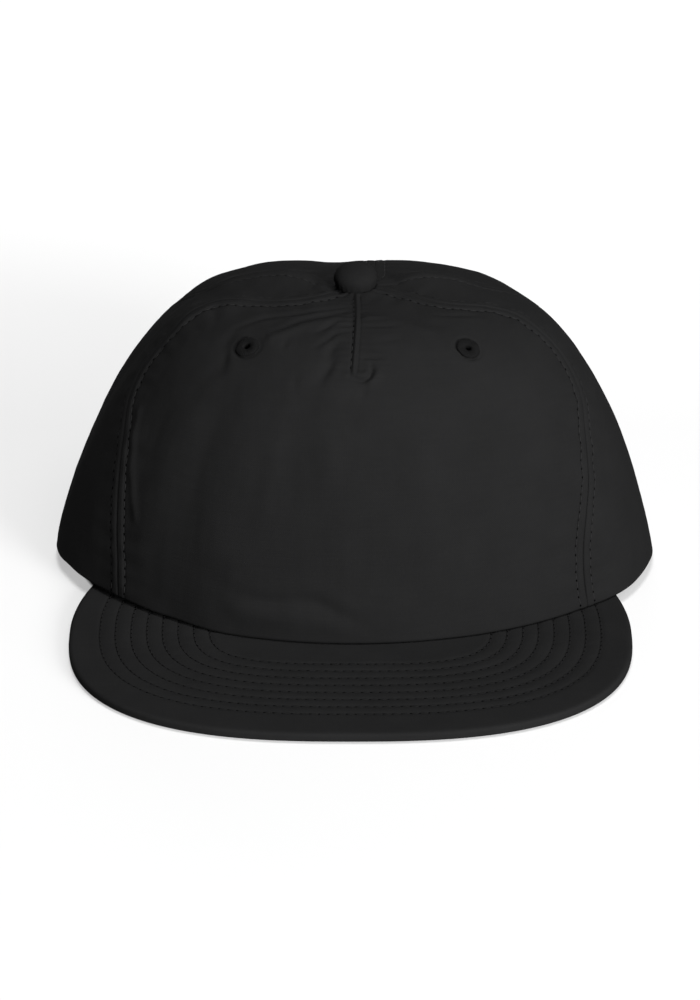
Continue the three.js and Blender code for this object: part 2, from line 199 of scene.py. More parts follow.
def outward(azimuth, rise):
    """The cloth's outward direction, level at the hem as the frame has it."""
    across, up = slopes(azimuth, rise)
    normal = unit(np.cross(across, up))
    normal[..., 2] *= smooth(rise, 0, LEVEL_UP_TO)
    return unit(normal)


def run_along(points, axis=0):
    """How far each point is from the first, along one axis of the array."""
    steps = np.linalg.norm(np.diff(points, axis=axis), axis=-1)
    return np.cumsum(np.insert(steps, 0, 0, axis=axis), axis=axis)


def near(points, line):
    """The distance from each point to a line of points, and how far along it that is, in mm."""
    best = np.full(len(points), np.inf)
    along = np.zeros(len(points))
    run = 0.0
    for a, b in zip(line[:-1], line[1:]):
        step = b - a
        length = math.sqrt(step @ step)
        if length < 1e-9:
            continue
        t = np.clip((points - a) @ step / length ** 2, 0, 1)
        gap = np.linalg.norm(points - a - t[:, None] * step, axis=1)
        closer = gap < best
        best[closer] = gap[closer]
        along[closer] = run + t[closer] * length
        run += length
    return best, along


class Track:
    """A line drawn on the crown: its azimuths and rises, its points and its length."""

    def __init__(self, azimuth, rise):
        self.azimuth, self.rise = floats(azimuth, rise)
        self.points = crown(self.azimuth, self.rise)
        self.run = run_along(self.points)
        self.length = self.run[-1]

    def aside(self, offset):
        """The same line moved across itself on the crown, to its left where offset is above 0."""
        azimuth, rise = self.azimuth.copy(), self.rise.copy()
        for _ in range(2):
            ahead = unit(np.gradient(crown(azimuth, rise), axis=0))
            across, up = slopes(azimuth, rise)
            aim = np.cross(unit(np.cross(across, up)), ahead) * offset / 2
            aa, au, uu = ((p * q).sum(-1) for p, q in ((across, across), (across, up), (up, up)))
            pa, pu = (aim * across).sum(-1), (aim * up).sum(-1)
            det = np.maximum(aa * uu - au * au, 1e-9)
            azimuth += (pa * uu - pu * au) / det
            rise += (pu * aa - pa * au) / det
        return Track(azimuth, np.clip(rise, 0, 1))

    def part(self, start, end, count):
        """Points evenly along it from start to end, in mm, as azimuths and rises."""
        at = np.linspace(start, end, count)
        return np.interp(at, self.run, self.azimuth), np.interp(at, self.run, self.rise)


def arch_side(share):
    """The arch's edge from its foot, share 0, to its top in the middle, share 1: degrees away
    from the middle of the back, and rises."""
    foot = ARCH["straight"]
    side = foot / (foot + ARCH["curve"])
    angle = np.clip((share - side) / (1 - side), 0, 1) * math.pi / 2
    curved = foot + (ARCH["height"] - foot) * np.sin(angle)
    z = np.where(share < side, share / side * foot, curved)
    levels = np.linspace(0, 0.5, 80)
    rise = np.interp(z, section(levels)["z_back"], levels)
    return np.degrees(np.arcsin(ARCH["half"] * np.cos(angle) / section(rise)["half"])), rise


def arch_track():
    """The whole arch on the crown, from its left foot to its right foot."""
    off, rise = arch_side(np.linspace(0, 1, 60))
    azimuth = np.concatenate([180 + off, 180 - off[-2::-1]])
    return Track(azimuth, np.concatenate([rise, rise[-2::-1]]))


LEVELS = np.linspace(0, TOP_RISE, 70)
ARCH_TRACK = arch_track()
ARCH_TOP = ARCH_TRACK.rise.max()
SEAMS = {
    "front_left": Track(spline(FRONT_LEFT, LEVELS), LEVELS),
    "front_right": Track(spline(FRONT_RIGHT, LEVELS), LEVELS),
    "back_left": Track(spline(BACK_LEFT, LEVELS), LEVELS),
    "back_right": Track(spline(BACK_RIGHT, LEVELS), LEVELS),
    "back_middle": Track(spline(MIDDLE, LEVELS[LEVELS > ARCH_TOP]), LEVELS[LEVELS > ARCH_TOP]),
}
# How thick a seam's turned edges are, how far it puckers and how deep the cloth sinks to it
BACK_SEAM_FORM = (0.14, 0.1, 0.2)
SEAM_FORMS = {"front_left": (0.38, 0.16, -0.45), "front_right": (0.42, 0.16, 0.3)}
HEM_TRACK = Track(np.linspace(-180, 180, 181), np.zeros(181))
DART = Track(np.linspace(2.0, -0.6, 20), np.linspace(0.95, 0.566, 20))
DART_STITCHED = -1.0
BUTTON_Y, BUTTON_Z = crown(0.0, 1.0)[1:]
EYELETS = crown(*np.array(list(EYELET_SPOTS.values())).T)

# Soft folds of the cloth, some of them for the outline: from and to are azimuth and rise, bow
# lifts the middle, width is the half width and height stands out of the cloth, both in mm
FOLDS = [
    ((0.6, 0.573), (3, 0.572), 0, 1.4, 0.4),
    ((4.2, 0.548), (6.4, 0.575), -0.004, 1.6, 0.5),
    ((-5, 0.53), (-6, 0.3), 0, 5, 0.5),
    ((-5, 0.79), (-31, 0.69), 0.02, 2.4, 0.7),
    ((-6.3, 0.67), (-9.5, 0.55), 0, 2.2, -0.6),
    ((-46, 0.66), (-41.5, 0.56), 0, 3, -0.45),
    ((7, 0.81), (29, 0.72), 0.02, 2.4, 0.5),
    ((-24, 0.5), (-28, 0.16), 0, 9, 0.55),
    ((-22, 0.045), (-4, 0.03), 0, 4, 0.6),
    ((-44, 0.42), (-46, 0.12), 0, 7, 0.8),
    ((-130, 0.64), (-144, 0.68), 0, 13.5, 1.75),
    ((100, 0.72), (136, 0.8), 0.01, 7, -0.3),
    ((-83, 0.68), (-76, 0.78), 0, 7, 1.5),
    ((-62.5, 0.42), (-49.5, 0.18), 0, 1.6, 0.5),
    ((-155, 0.62), (-163, 0.72), 0, 9, 0.5),
    ((134, 0.67), (158, 0.7), 0, 12, 1),
    ((-176, 0.64), (-168, 0.74), 0, 8, -0.8),
    ((90, 0.34), (94, 0.5), 0, 22, 0.9),
    ((-90, 0.32), (-90, 0.56), 0, 20, -1),
]
# The soft top stands up along the side-back seams: azimuth, rise and height
RIDGES = [
    [(-108.5, 0.69, 0), (-109.5, 0.74, 1.7), (-112.5, 0.8, 3.3), (-116, 0.86, 4.0),
     (-118.5, 0.895, 2.6), (-120, 0.925, 0.3)],
    [(110, 0.75, 0), (112.5, 0.8, 2.0), (116, 0.86, 2.8), (118.5, 0.895, 1.9), (120, 0.92, 0.2)],
]
RIDGE_REACH = 9.0
# How much of a ridge is round, and how fast the rest of it falls from its edge, in mm
RIDGE_ROUND = 0.7
RIDGE_FALL = 5.0
# Finer creases: their points as azimuth and rise, then the half width and the height
CREASES = [
    ([(-6, 0.878), (-25.5, 0.828), (-35.5, 0.795), (-44.2, 0.763), (-49, 0.7)], 1.3, -0.38),
    ([(-3.2, 0.858), (-14.5, 0.82), (-21, 0.79), (-25.2, 0.77), (-28, 0.74), (-33.2, 0.688)],
     1.5, -0.5),
    ([(-1, 0.79), (-8, 0.782), (-11, 0.758), (-13.5, 0.735), (-16, 0.718)], 1, -0.32),
    ([(-1, 0.763), (-8, 0.758)], 0.8, -0.2),
    ([(-1.2, 0.733), (-7, 0.725), (-9.2, 0.7), (-11.5, 0.677), (-13.2, 0.662)], 1, -0.38),
    ([(-7.2, 0.68), (-8, 0.645), (-7.8, 0.628)], 1.1, -0.28),
    ([(-6.2, 0.62), (-7.2, 0.595), (-8.2, 0.57), (-8.6, 0.553)], 1.3, -0.3),
    ([(-24.2, 0.682), (-23.8, 0.65)], 1.2, -0.22),
    ([(-16.5, 0.565), (-15.8, 0.515)], 1.4, -0.22),
    ([(4.2, 0.795), (22.8, 0.792)], 0.8, -0.22),
    ([(2.8, 0.76), (19.5, 0.755)], 0.8, -0.22),
    ([(7.8, 0.693), (16, 0.693)], 1.3, -0.2),
    ([(1.2, 0.628), (8.7, 0.625)], 0.8, -0.4),
    ([(32, 0.748), (40.5, 0.738)], 2.5, -0.2),
    ([(41.5, 0.792), (63, 0.74)], 1.2, -0.28),
    ([(4.8, 0.603), (4.7, 0.58), (3.6, 0.56), (1.6, 0.553), (-1.2, 0.563)], 0.9, -0.62),
    ([(1, 0.527), (3.2, 0.508)], 2.5, -0.4),
    ([(-42.5, 0.638), (-41.2, 0.6), (-39.5, 0.562)], 1.8, -0.3),
    ([(-23, 0.075), (-19.5, 0.068), (-15, 0.066), (-10.5, 0.072), (-7, 0.069), (-3, 0.05),
      (2, 0.032)], 2.4, -0.5),
    ([(-12, 0.5), (-14, 0.2)], 4, -0.12),
    ([(-17, 0.52), (-19.5, 0.18)], 3.5, 0.25),
    ([(-34, 0.5), (-37, 0.15)], 4, -0.25),
    ([(14, 0.45), (15.5, 0.18)], 5, 0.3),
]
# What every crease's half width and height are multiplied by
CREASE_WIDTH = 0.85
CREASE_HEIGHT = 1.2


def fold_heights(points):
    height = np.zeros(len(points))
    s = np.linspace(0, 1, 9)
    for start, end, bow, width, out in FOLDS:
        line = crown(
            start[0] + (end[0] - start[0]) * s,
            start[1] + (end[1] - start[1]) * s + 4 * bow * s * (1 - s),
        )
        height += out * bell(near(points, line)[0], width)
    return height


def marked(marks, steps):
    """A smooth line through marks, and each of their values at its points."""
    s = np.linspace(0, 1, steps * len(marks))
    values = [spline(column, s) for column in zip(*marks)]
    return Track(*values[:2]), values


def crease_heights(points):
    """Creases fade at their ends and throw up a little cloth on either side."""
    height = np.zeros(len(points))
    for marks, width, out in CREASES:
        line, _ = marked(marks, 6)
        gap, along = near(points, line.points)
        fade = np.sin(np.pi * np.clip(along / line.length, 0.05, 0.95)) ** 0.6
        width *= CREASE_WIDTH
        thrown_up = 0.35 * bell(gap - 2.3 * width, 1.2 * width)
        height += CREASE_HEIGHT * out * fade * (bell(gap, width) - thrown_up)
    return height


def ridge_heights(points):
    """Each ridge is round below and comes to an edge at its seam."""
    height = np.zeros(len(points))
    for marks in RIDGES:
        line, (_, _, heights) = marked(marks, 8)
        gap, along = near(points, line.points)
        out = np.interp(along, line.run, heights)
        edge = (1 - RIDGE_ROUND) * np.exp(-np.hypot(gap, 0.4) / RIDGE_FALL)
        height += out * (RIDGE_ROUND * bell(gap, RIDGE_REACH) + edge)
    return height


def grain(points, scale, seed):
    """Smooth noise of about -1 to 1 over each point, its cells scale mm wide along x, y and z."""
    shift = Vector((seed * 17.3, seed * 5.1, seed * 9.7))
    cells = points / np.asarray(scale, float)
    return np.array([noise.noise(Vector(cell) + shift) for cell in cells])


def seam_height(points, track, bulk, pull, sunk):
    """The ridge over a seam's turned edges, the grooves of its stitching, its puckers, and how
    deep the cloth sinks towards it."""
    gap, along = near(points, track.points)
    ridge = bulk * (1 - smooth(gap, 2.3, 3.5) - bell(gap, 0.45))
    stitched = 1 + 0.5 * np.cos(2 * np.pi * along / STITCH_PITCH)
    groove = 0.2 * bell(gap - TOPSTITCH, 0.5) * stitched
    wave = np.sin(2 * np.pi * along / 8.5 + 2.2 * np.sin(along / 13.0)) + 0.6 * np.sin(along / 2.1)
    pucker = pull * wave * smooth(gap, 1.2, 3.4) * (1 - smooth(gap, 4.5, 15))
    return ridge - groove + pucker - sunk * bell(gap, 9.0)


def dart_height(points):
    """The dart's tuck: a narrow ridge that stands on the right of its stitching."""
    gap, along = near(points, DART.points)
    x = points[:, 0] - np.interp(along, DART.run, DART.points[:, 0])
    side = np.where(x > 0, gap, -gap)
    ends = smooth(along, 0, 3) * (1 - smooth(along, DART.length - 3, DART.length + 0.5))
    tuck = 0.65 * bell(side - 0.1, 0.75)
    tuck -= 0.35 * bell(side - DART_STITCHED, 0.4) + 0.3 * bell(side - 1.2, 0.35)
    drawn = np.where(side < 0, 0.13, 0.08) * smooth(gap, 1, 2)
    drawn *= np.exp(-np.maximum(gap - 2, 0) / 5.0)
    drawn *= np.sin(2 * np.pi * along / STITCH_PITCH + 0.7 * np.sin(along / 5.0))
    return (tuck + drawn - 0.35 * bell(gap, 8)) * ends


def unevenness(points, rise):
    """Wide swells of the cloth, calmer on the right and over the top, and its fine grain."""
    calm = 1 - 0.55 * smooth(points[:, 0], -10, 30)
    calm *= 1 - 0.6 * smooth(rise, 0.6, 0.8)
    wide = grain(points, (46, 46, 60), 1) * 0.8 + grain(points, (12, 12, 40), 2) * 0.32
    fine = grain(points, (6.5, 6.5, 16), 3) * 0.1 + grain(points, (16, 16, 3.2), 4) * 0.05
    return fine + (wide + grain(points, (3.6, 3.6, 24), 5) * 0.09) * calm


def seated(height, points):
    """The cloth lies flat round each eyelet and is drawn in at its rim."""
    gap = np.min([np.linalg.norm(points - spot, axis=1) for spot in EYELETS], axis=0)
    return height * smooth(gap, 4.2, 9.0) - 0.55 * bell(gap - EYELET_SEAT, 0.5)


def hemmed(height, points, azimuth, rise):
    """The hem is calm, and it stands out in front, where it lies on the peak."""
    gap, _ = near(points, HEM_TRACK.points)
    ahead = bell((azimuth + 180) % 360 - 180, 45)
    height = height * (smooth(gap, 0, 7) * 0.6 + 0.4)
    height += (0.45 + 0.9 * ahead) * (1 - smooth(rise, 0.05, 0.3)) - 0.4 * bell(gap, 0.4)
    return height + ahead * (1 - smooth(rise, 0.0, 0.12))


def bound(height, points):
    """The arch's edge is turned under and topstitched."""
    gap, _ = near(points, ARCH_TRACK.points)
    height = height * (smooth(gap, 0, 6) * 0.8 + 0.2) + 0.35 * (1 - smooth(gap, 3.6, 4.6))
    return height - 0.2 * bell(gap - ARCH_TOPSTITCH, 0.5) - 0.5 * bell(gap, 0.6)


def relief(azimuth, rise):
    """How far the cloth stands out of the plain crown, in mm."""
    points = crown(azimuth, rise)
    height = fold_heights(points) + crease_heights(points) + ridge_heights(points)
    height += dart_height(points) + unevenness(points, rise)
    height = seated(height, points)
    for name, track in SEAMS.items():
        height += seam_height(points, track, *SEAM_FORMS.get(name, BACK_SEAM_FORM))
    height = bound(hemmed(height, points, azimuth, rise), points)
    # The button presses the cloth down, most on its left
    aside = np.hypot(points[:, 0], points[:, 1] - BUTTON_Y)
    height -= (0.1 + 1.3 * smooth(-points[:, 0], 1, 6)) * bell(aside - 7.8, 2.2)
    return height * (1 - smooth(rise, 0.955, 0.975))


def shaped(azimuth, rise, extra=0.0):
    """Points of the dressed crown in mm, and the directions out of it."""
    azimuth, rise = floats(azimuth, rise)
    normal = outward(azimuth, rise)
    return crown(azimuth, rise) + normal * (relief(azimuth, rise) + extra)[:, None], normal


def crowded(count, peaks):
    """Shares 0 to 1 of a strip's cells, closer together at each peak: middle, width, strength."""
    x = np.linspace(0, 1, 2001)
    density = 1 + sum(strength * bell(x - middle, width) for middle, width, strength in peaks)
    total = np.concatenate([[0], np.cumsum((density[1:] + density[:-1]) / 2)])
    return np.interp(np.linspace(0, 1, count + 1), total / total[-1], x)


def write_mesh(bm, name, finish, smooth_faces=True):
    mesh = bpy.data.meshes.new(name)
    bm.to_mesh(mesh)
    bm.free()
    mesh.materials.append(finish)
    mesh.polygons.foreach_set("use_smooth", [smooth_faces] * len(mesh.polygons))
    piece = bpy.data.objects.new(name, mesh)
    bpy.context.scene.collection.objects.link(piece)
    return piece


def dress(piece, slot, *nodes):
    """Hangs a finished piece on the frame, in place of the nodes where there are any."""
    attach(piece, "root")
    if nodes:
        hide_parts(*nodes)


def grid(columns, rows):
    """A flat grid and, for each of its vertices, the column and the row that it stands in."""
    bm = bmesh.new()
    bmesh.ops.create_grid(bm, x_segments=columns, y_segments=rows, size=1)
    flat = np.array([vert.co[:2] for vert in bm.verts])
    column = np.rint((flat[:, 0] + 1) / 2 * columns).astype(int)
    row = np.rint((flat[:, 1] + 1) / 2 * rows).astype(int)
    return bm, column, row


def place(bm, points):
    for vert, point in zip(bm.verts, points * MM):
        vert.co = point


def cloth_map(piece, values):
    """Writes a UV map, one pair for each vertex, in metres of cloth."""
    layer = piece.data.uv_layers.new(name="cloth")
    corner = np.zeros(len(piece.data.loops), int)
    piece.data.loops.foreach_get("vertex_index", corner)
    layer.data.foreach_set("uv", (values[corner] * MM).ravel())


def thicken(piece, thickness):
    wall = piece.modifiers.new("wall", "SOLIDIFY")
    wall.thickness = thickness * MM
    wall.offset = -1
    return piece


ROWS_UP = crowded(160, [(0, 0.012, 3), (0.595, 0.04, 0.8)]) * TOP_RISE


def cloth_panel(name, azimuth, rise, finish, holes):
    """One panel of the crown from its net of azimuths and rises, rows first."""
    rows, columns = azimuth.shape[0] - 1, azimuth.shape[1] - 1
    bm, column, row = grid(columns, rows)
    points, _ = shaped(azimuth[row, column], rise[row, column])
    place(bm, points)
    order = {vert: i for i, vert in enumerate(bm.verts)}
    spots = [Vector(hole) for hole in holes]
    cut = []
    for face in bm.faces:
        middle = face.calc_center_median() / MM
        if any((middle - spot).length < EYELET_HOLE for spot in spots):
            cut.append(face)
    bmesh.ops.delete(bm, geom=cut, context="FACES")
    kept = [order[vert] for vert in bm.verts]
    row, column = row[kept], column[kept]
    flat = crown(azimuth, rise)
    u, v = run_along(flat, 1), run_along(flat)
    u -= u[:, columns // 2][:, None]
    piece = write_mesh(bm, name, finish)
    cloth_map(piece, np.stack([u[row, column], v[row, column]], -1))
    return thicken(piece, CLOTH)


def net(start, end, shares, rise):
    """A net between two lines of azimuths: the azimuths at each rise, and the rises."""
    azimuth = start[:, None] + (end - start)[:, None] * shares
    return azimuth, np.repeat(rise[:, None], len(shares), axis=1)


def between(low, high, shares):
    """A panel's net between two seams."""
    return net(spline(low, ROWS_UP), spline(high, ROWS_UP), shares, ROWS_UP)


def arched(shares, middle):
    """The right back panel's net, whose far edge climbs the arch and then the middle seam."""
    off, low = arch_side(crowded(64, [(0, 0.03, 2)]))
    above = ARCH_TOP + (TOP_RISE - ARCH_TOP) * crowded(110, [(0, 0.05, 1.5)])[1:]
    rise = np.concatenate([low, above])
    return net(spline(BACK_RIGHT, rise), np.concatenate([180 - off, spline(middle, above)]),
               shares, rise)


class Wire:
    """A socket whose arithmetic adds Math nodes."""

    def __init__(self, finish, socket):
        self.finish, self.socket = finish, socket

    def math(self, operation, *values):
        inputs = dict(enumerate((self, *values)))
        return self.finish.wire(self.finish.node("ShaderNodeMath", inputs, operation=operation))

    def __add__(self, other):
        return self.math("ADD", other)

    def __sub__(self, other):
        return self.math("SUBTRACT", other)

    def __mul__(self, other):
        return self.math("MULTIPLY", other)

    def __truediv__(self, other):
        return self.math("DIVIDE", other)

    def sine(self):
        return self.math("SINE")

    def size(self):
        return self.math("ABSOLUTE")

    def most(self, other):
        return self.math("MAXIMUM", other)

    def least(self, other):
        return self.math("MINIMUM", other)


class Finish:
    """One material with its Principled shader, and the way to add nodes to it."""

    def __init__(self, name, **settings):
        self.material = bpy.data.materials.new(name)
        self.material.use_nodes = True
        self.tree = self.material.node_tree
        self.shader = self.tree.nodes["Principled BSDF"]
        self.feed(self.shader, {key.replace("_", " "): value for key, value in settings.items()})

    def feed(self, node, inputs):
        for key, value in inputs.items():
            value = getattr(value, "socket", value)
            if isinstance(value, bpy.types.NodeSocket):
                self.tree.links.new(value, node.inputs[key])
            else:
                node.inputs[key].default_value = value

    def node(self, kind, inputs=(), **settings):
        node = self.tree.nodes.new(kind)
        for key, value in settings.items():
            setattr(node, key, value)
        self.feed(node, dict(inputs))
        return node

    def wire(self, node, output=0):
        return Wire(self, node.outputs[output])

    def coordinates(self, kind, scale=(1, 1, 1)):
        """Object coordinates or the cloth's own map, scaled for a pattern."""
        if kind == "UV":
            source = self.node("ShaderNodeUVMap", uv_map="cloth").outputs[0]
        else:
            source = self.node("ShaderNodeTexCoord").outputs[kind]
        return self.node("ShaderNodeMapping", {"Vector": source, "Scale": scale}).outputs[0]

    def noise(self, vector, scale, detail=2.0, roughness=0.5):
        inputs = {"Vector": vector, "Scale": scale, "Detail": detail, "Roughness": roughness}
        return self.wire(self.node("ShaderNodeTexNoise", inputs))

    def split(self, vector):
        node = self.node("ShaderNodeSeparateXYZ", {0: vector})
        return [self.wire(node, i) for i in range(3)]

    def blend(self, factor, first, second):
        """A colour between two colours."""
        inputs = {0: factor, 6: first, 7: second}
        return self.node("ShaderNodeMix", inputs, data_type="RGBA").outputs[2]

    def finished(self, tone, dark, light, rough, height, distance, strength):
        """The whole material: dark to light with its tone, its roughness and its bump."""
        bump = {"Height": height, "Distance": distance, "Strength": strength}
        self.feed(self.shader, {
            "Base Color": self.blend(tone, dark, light),
            "Roughness": rough,
            "Normal": self.node("ShaderNodeBump", bump).outputs[0],
        })
        return self.material


def grey(level, tint=(1.0, 1.0, 1.0)):
    return tuple(level * part for part in tint) + (1.0,)


# The black of the cloth is a trace blue
COOL = (1.0, 1.0, 1.012)
# Pitches of the weaves, in metres
NYLON_PITCH = 0.00036
TWILL_RIB = 0.0006
STRAP_SLANT = 0.0007
STRAP_PICK = 0.0009


def nylon(name, kind, level, rough):
    """Matt cloth: a fine plain weave, slubs in its threads, patches and lint in its tone."""
    cloth = Finish(name, IOR=1.015)
    plain = cloth.coordinates(kind)
    u, v, w = cloth.split(plain)
    if kind == "Object":
        u, v = u + w * 0.6, v + w * 0.8
    turns = math.pi / NYLON_PITCH
    weave = (u * turns).sine() * (v * turns).sine()
    slub_across = cloth.noise(cloth.coordinates(kind, (60, 2600, 900)), 1.0)
    slub_up = cloth.noise(cloth.coordinates(kind, (2600, 60, 900)), 1.0)
    patch = cloth.noise(plain, 55.0, 3.0, 0.55)
    lint = cloth.noise(plain, 900.0, 2.0, 0.6)
    threads = weave * 0.25 + slub_across * 0.9 + slub_up * 0.7
    tone = patch * 0.5 + slub_across * 0.3 + lint * 0.2
    rough = patch * 0.16 + weave * 0.01 + (rough - 0.08)
    dark, light = grey(level * 0.72, COOL), grey(level * 1.28, COOL)
    return cloth.finished(tone, dark, light, rough, threads, 0.00005, 0.8)


def thread_finish(name, level, rough):
    """Twisted polyester thread with a fine lay along each stitch; its needle holes are painted
    near black and matt, painted shade for their pits.
    """
    thread = Finish(name, IOR=1.04)
    lay = thread.noise(thread.coordinates("Object", (1400, 1400, 1400)), 1.0, 3.0, 0.6)
    hole = thread.wire(thread.node("ShaderNodeAttribute", attribute_name="hole"), 2)
    fibre = thread.blend(lay, grey(level * 0.6, COOL), grey(level * 1.5, COOL))
    rough = (lay * 0.2 + (rough - 0.1)).most(hole)
    # Near black where the layer "hole" is 1: painted shade of the needle holes.
    return thread.finished(hole, fibre, grey(0.0004), rough, lay, 0.00006, 0.7)


def twill(name, level, rough):
    """Cotton twill of the sweatband: fine slanting ribs."""
    cloth = Finish(name, Specular_IOR_Level=0.2, Sheen_Weight=0.25, Sheen_Roughness=0.5)
    plain = cloth.coordinates("UV")
    u, v, _ = cloth.split(plain)
    rib = ((u + v) * (math.pi / TWILL_RIB)).sine().size()
    fuzz = cloth.noise(plain, 1100.0, 3.0, 0.6)
    patch = cloth.noise(plain, 70.0)
    return cloth.finished(
        patch * 0.6 + fuzz * 0.4, grey(level * 0.7), grey(level * 1.3),
        fuzz * 0.15 + (rough - 0.08), rib + fuzz * 0.8, 0.00009, 0.8,
    )


def webbing(name, level, rough):
    """Woven strap: ribs across it and a herringbone of fine threads."""
    strap = Finish(name, IOR=1.1)
    plain = strap.coordinates("UV")
    u, v, _ = strap.split(plain)
    slant = ((u + v.size()) * (math.pi / STRAP_SLANT)).sine().size()
    picks = (u * (math.pi / STRAP_PICK)).sine().size()
    fuzz = strap.noise(plain, 1200.0)
    return strap.finished(
        fuzz * 0.5 + slant * 0.5, grey(level * 0.7), grey(level * 1.3),
        fuzz * 0.12 + (rough - 0.06), slant * 0.6 + picks * 0.6 + fuzz * 0.4, 0.00012, 0.9,
    )


def moulded(name, level, rough):
    """Moulded plastic with a fine spark-eroded grain."""
    plastic = Finish(name, IOR=1.2)
    at = plastic.coordinates("Object")
    pits = plastic.noise(at, 4200.0)
    haze = plastic.noise(at, 180.0, 3.0, 0.6)
    return plastic.finished(
        haze, grey(level * 0.85), grey(level * 1.15),
        haze * 0.16 + (rough - 0.08), pits, 0.00003, 0.6,
    )


def join(whole, part):
    """Adds one bmesh to another and frees it."""
    mesh = bpy.data.meshes.new("part")
    part.to_mesh(mesh)
    part.free()
    whole.from_mesh(mesh)
    bpy.data.meshes.remove(mesh)


def read(values, run, at):
    """Reads rows of values, one for each length of run, at another length."""
    return np.array([np.interp(at, run, column) for column in values.T])


def sewn(bm, points, normals):
    """Adds a row of stitches along points: short capsules, their ends sunk in the cloth, with a
    needle hole between each two, drawn as a flat near-black disc that is painted shade for its
    pit. The layer "hole" is 1 on these discs."""
    run = run_along(points)
    count = max(int(run[-1] / STITCH_PITCH), 1)
    seats = []
    for i in range(2 * count + 1):
        stitch = i % 2 == 1
        middle, half = i * run[-1] / count / 2, STITCH_LENGTH / 2 if stitch else NEEDLE
        out = unit(read(normals, run, middle))
        ahead = unit(read(points, run, middle + half) - read(points, run, middle - half))
        side = unit(np.cross(out, ahead))
        out = np.cross(ahead, side)
        wide, high = (THREAD, THREAD * 0.8) if stitch else (NEEDLE, NEEDLE_SHADE_FILL)
        turn = Matrix((side * wide, out * high, ahead * half)).transposed()
        at = read(points, run, middle) - out * (0 if stitch else THREAD * 0.3)
        seats.append((stitch, Matrix.Translation(Vector(at * MM)) @ (turn * MM).to_4x4()))
    for stitch in (True, False):
        kind = [seat for each, seat in seats if each == stitch]
        for first in range(0, len(kind), STITCHES_AT_ONCE):
            few = bmesh.new()
            hole = few.verts.layers.float.new("hole")
            for seat in kind[first:first + STITCHES_AT_ONCE]:
                bmesh.ops.create_uvsphere(few, u_segments=6, v_segments=5, radius=1, matrix=seat)
            for vert in few.verts:
                # The discs of painted hole shade get 1, which turns them near black in the
                # thread's material
                vert[hole] = 0 if stitch else 1
            join(bm, few)


def sewn_track(bm, track, start, end, sink=0.0):
    """Topstitching along a line on the crown, from start to end in mm."""
    azimuth, rise = track.part(start, end, max(int((end - start) / 0.8), 3))
    points, normals = shaped(azimuth, rise, THREAD * 0.35 - sink)
    sewn(bm, points, normals)


def peak_point(share, depth):
    """A point of the peak's plan: share -1 to 1 from its left tip to its right tip, and depth in
    mm inside its edge."""
    share, depth = floats(share, depth)
    out_to = np.abs(share)
    in_front = out_to < PEAK_FRONT_SHARE
    settled = smooth(depth, 0, 10)
    tip = CROWN_Y - (SECTIONS[0, 2] - PEAK_INSET) * math.cos(math.radians(PEAK_TIP_AZIMUTH))
    widest = PEAK["front_y"] + PEAK["reach"]
    turn_end = math.asin((tip - widest) / PEAK["flank"])
    ahead = np.clip(out_to / PEAK_FRONT_SHARE, 0, 1) * math.pi / 2
    behind = np.clip((out_to - PEAK_FRONT_SHARE) / (1 - PEAK_FRONT_SHARE), 0, 1) * turn_end
    half = np.maximum(PEAK["half"] - depth, 1)
    widest = widest + ROWS_WIDEST * settled
    behind_edge = ROWS_BEHIND[0] * depth + ROWS_BEHIND[1] * settled
    reach = np.maximum(widest - PEAK["front_y"] - behind_edge, 1)
    flank = np.maximum(PEAK["flank"] - depth, 1)
    power = 2 / spline(ROW_POWERS, depth / ROW_POWERS_TO)
    x = half * np.where(in_front, np.sin(ahead) ** power, np.cos(behind))
    y = widest + np.where(in_front, -reach * np.cos(ahead) ** power, flank * np.sin(behind))
    return np.stack([np.sign(share) * x + PEAK["x"], y], -1)


def peak_reach(share):
    """How deep the peak goes at each share, to its hidden inner edge, found by halving."""
    half, front = SECTIONS[0, 1] - PEAK_INSET, SECTIONS[0, 2] - PEAK_INSET
    low, high = np.zeros(len(share)), np.full(len(share), PEAK_DEEPEST)
    for _ in range(40):
        middle = (low + high) / 2
        x, y = peak_point(share, middle).T
        free = (x / half) ** 2 + (np.minimum(y - CROWN_Y, 0) / front) ** 2 > 1
        low, high = np.where(free, middle, low), np.where(free, high, middle)
    return low


ROW_DEPTHS = FIRST_ROW + ROW_STEP * np.arange(STITCH_ROWS)


def peak_relief(plan, depth):
    """How soft the peak's faces are between the rows of stitching, in mm out of plain ones."""
    gap = np.min(np.abs(depth[:, None] - ROW_DEPTHS[None, :]), axis=1)
    last = ROW_DEPTHS[-1]
    rows = smooth(depth, FIRST_ROW - 3, FIRST_ROW) * (1 - smooth(depth, last, last + 3))
    flat = np.column_stack([plan, np.zeros(len(plan))])
    puff = 0.05 * rows * np.cos(2 * np.pi * (depth - FIRST_ROW) / ROW_STEP + np.pi)
    ripple = 0.07 * grain(flat, (3.5, 3.5, 1), 7) * rows + 0.12 * grain(flat, (24, 24, 1), 8)
    return puff - 0.15 * bell(gap, 0.7) + ripple * smooth(depth, 1, 6)


# The peak's edge in section: depth inside it, and height
PEAK_EDGE = [(1.1, 0.0), (0.4, 0.08), (0.08, 0.35), (0.0, 0.9), (0.0, 1.5), (0.05, 2.1),
             (0.25, 2.55), (0.7, 2.87), (1.4, 2.98)]


